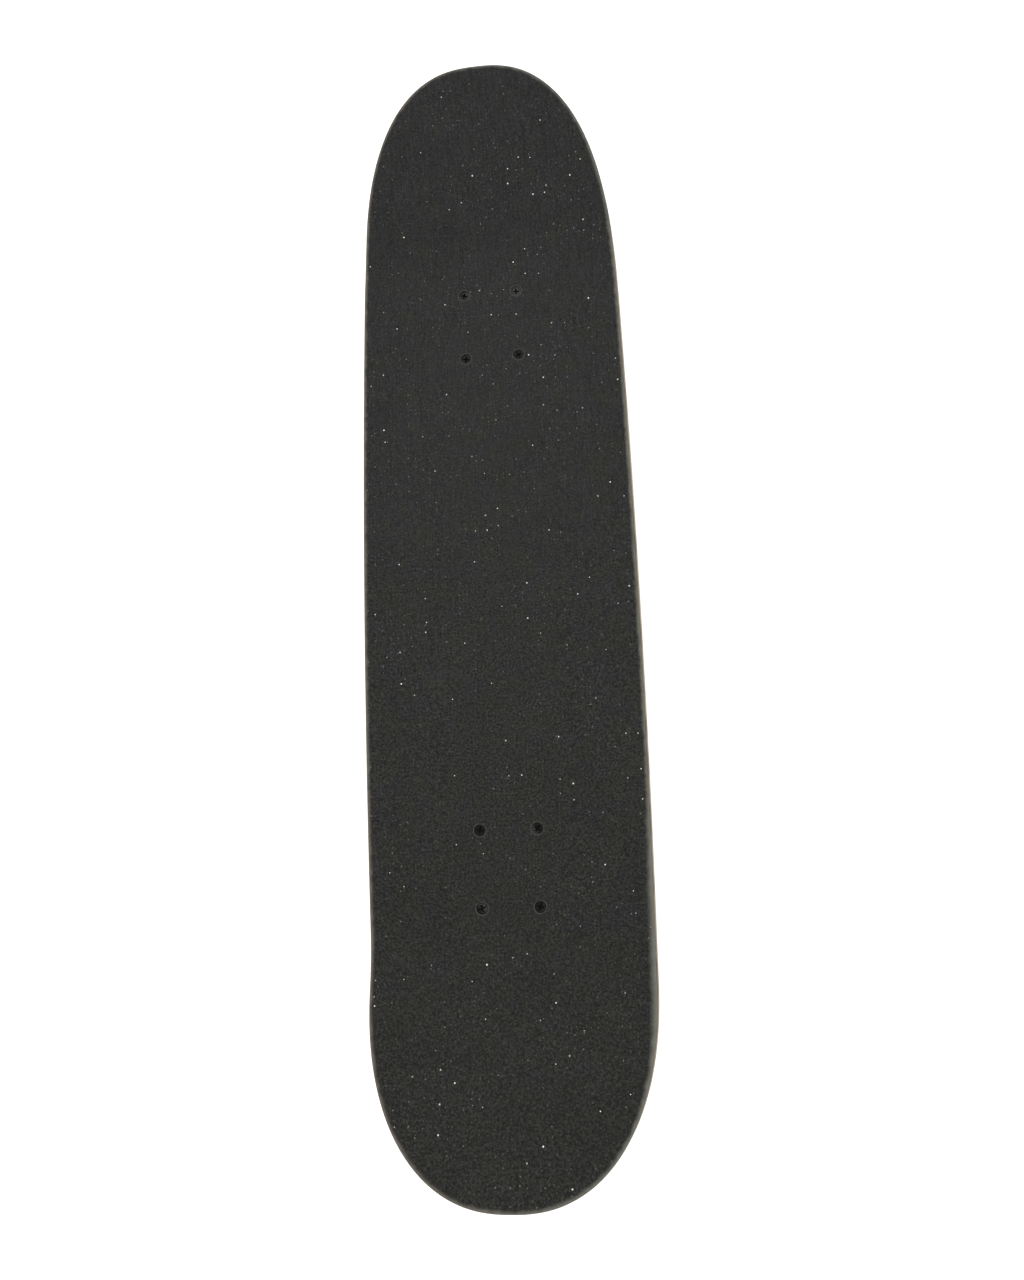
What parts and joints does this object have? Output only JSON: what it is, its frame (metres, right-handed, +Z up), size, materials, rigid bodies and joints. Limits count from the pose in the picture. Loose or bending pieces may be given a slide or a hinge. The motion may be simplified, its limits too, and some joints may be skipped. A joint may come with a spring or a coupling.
{
  "type": "skateboard",
  "caption": "Street skateboard: gritted maple deck with two kicks and concave, sprung steering trucks and small hard wheels on ball bearings",
  "frame": {"origin": "on the ground plane under the middle of the board's length and width, where the wheels stand", "axes": "+Z up, -Y to the nose, +Y to the tail, +X to the left of someone who looks towards the nose"},
  "size_m": [0.2054, 0.8156, 0.1494],
  "materials": {
    "maple": "clear lacquer over pressed maple plies",
    "grip_sheet": "coarse black grit bonded to a thin sheet",
    "black_bolts": "black oxide steel, satin",
    "steel_nuts": "zinc plated, satin",
    "baseplates": "tumbled casting",
    "hangers": "tumbled casting, lightly polished",
    "pivot_liners": "soft urethane liner",
    "kingpins": "dark steel, satin",
    "bushings": "cast urethane, slightly glossy",
    "steel_washers": "zinc plated",
    "axles": "ground steel rod, threaded ends",
    "wheels": "cast urethane, satin",
    "bearings": "ground bearing steel"
  },
  "bodies": {
    "board": {"baseplate_front": "baseplates", "baseplate_rear": "baseplates", "bolt_front_inner_left": "black_bolts", "bolt_front_inner_right": "black_bolts", "bolt_front_outer_left": "black_bolts", "bolt_front_outer_right": "black_bolts", "bolt_rear_inner_left": "black_bolts", "bolt_rear_inner_right": "black_bolts", "bolt_rear_outer_left": "black_bolts", "bolt_rear_outer_right": "black_bolts", "bushing_board_front": "bushings", "bushing_board_rear": "bushings", "bushing_road_front": "bushings", "bushing_road_rear": "bushings", "deck": "maple", "deck_nut_front_inner_left": "steel_nuts", "deck_nut_front_inner_right": "steel_nuts", "deck_nut_front_outer_left": "steel_nuts", "deck_nut_front_outer_right": "steel_nuts", "deck_nut_rear_inner_left": "steel_nuts", "deck_nut_rear_inner_right": "steel_nuts", "deck_nut_rear_outer_left": "steel_nuts", "deck_nut_rear_outer_right": "steel_nuts", "grip_tape": "grip_sheet", "kingpin_front": "kingpins", "kingpin_nut_front": "steel_nuts", "kingpin_nut_rear": "steel_nuts", "kingpin_rear": "kingpins", "pivot_cup_front": "pivot_liners", "pivot_cup_rear": "pivot_liners", "washer_board_front": "steel_washers", "washer_board_rear": "steel_washers", "washer_road_front": "steel_washers", "washer_road_rear": "steel_washers"},
    "front_hanger": {"axle_front": "axles", "axle_nut_front_left": "steel_nuts", "axle_nut_front_right": "steel_nuts", "hanger_front": "hangers", "inner_races_front_left": "bearings", "inner_races_front_right": "bearings"},
    "wheel_front_left": {"outer_race_front_left_inboard": "bearings", "outer_race_front_left_outboard": "bearings", "wheel_front_left": "wheels"},
    "wheel_front_right": {"outer_race_front_right_inboard": "bearings", "outer_race_front_right_outboard": "bearings", "wheel_front_right": "wheels"},
    "rear_hanger": {"axle_nut_rear_left": "steel_nuts", "axle_nut_rear_right": "steel_nuts", "axle_rear": "axles", "hanger_rear": "hangers", "inner_races_rear_left": "bearings", "inner_races_rear_right": "bearings"},
    "wheel_rear_left": {"outer_race_rear_left_inboard": "bearings", "outer_race_rear_left_outboard": "bearings", "wheel_rear_left": "wheels"},
    "wheel_rear_right": {"outer_race_rear_right_inboard": "bearings", "outer_race_rear_right_outboard": "bearings", "wheel_rear_right": "wheels"}
  },
  "joints": [
    {"name": "front_steer", "type": "hinge", "parent": "board", "child": "front_hanger", "pos_m": [0, -0.18441, 0.04309], "axis": [0, -0.9035, 0.4285], "range_deg": [-15, 15], "stiffness_Nm_per_rad": 80, "deforming": ["bushing_board_front", "bushing_road_front"]},
    {"name": "front_left_wheel_spin", "type": "hinge", "parent": "front_hanger", "child": "wheel_front_left", "pos_m": [0.0814, -0.20161, 0.026], "axis": [1, 0, 0], "continuous": true},
    {"name": "front_right_wheel_spin", "type": "hinge", "parent": "front_hanger", "child": "wheel_front_right", "pos_m": [-0.0814, -0.20161, 0.026], "axis": [1, 0, 0], "continuous": true},
    {"name": "rear_steer", "type": "hinge", "parent": "board", "child": "rear_hanger", "pos_m": [0, 0.19711, 0.04309], "axis": [0, 0.9035, 0.4285], "range_deg": [-15, 15], "stiffness_Nm_per_rad": 80, "deforming": ["bushing_board_rear", "bushing_road_rear"]},
    {"name": "rear_left_wheel_spin", "type": "hinge", "parent": "rear_hanger", "child": "wheel_rear_left", "pos_m": [0.0814, 0.21431, 0.026], "axis": [1, 0, 0], "continuous": true},
    {"name": "rear_right_wheel_spin", "type": "hinge", "parent": "rear_hanger", "child": "wheel_rear_right", "pos_m": [-0.0814, 0.21431, 0.026], "axis": [1, 0, 0], "continuous": true}
  ]
}
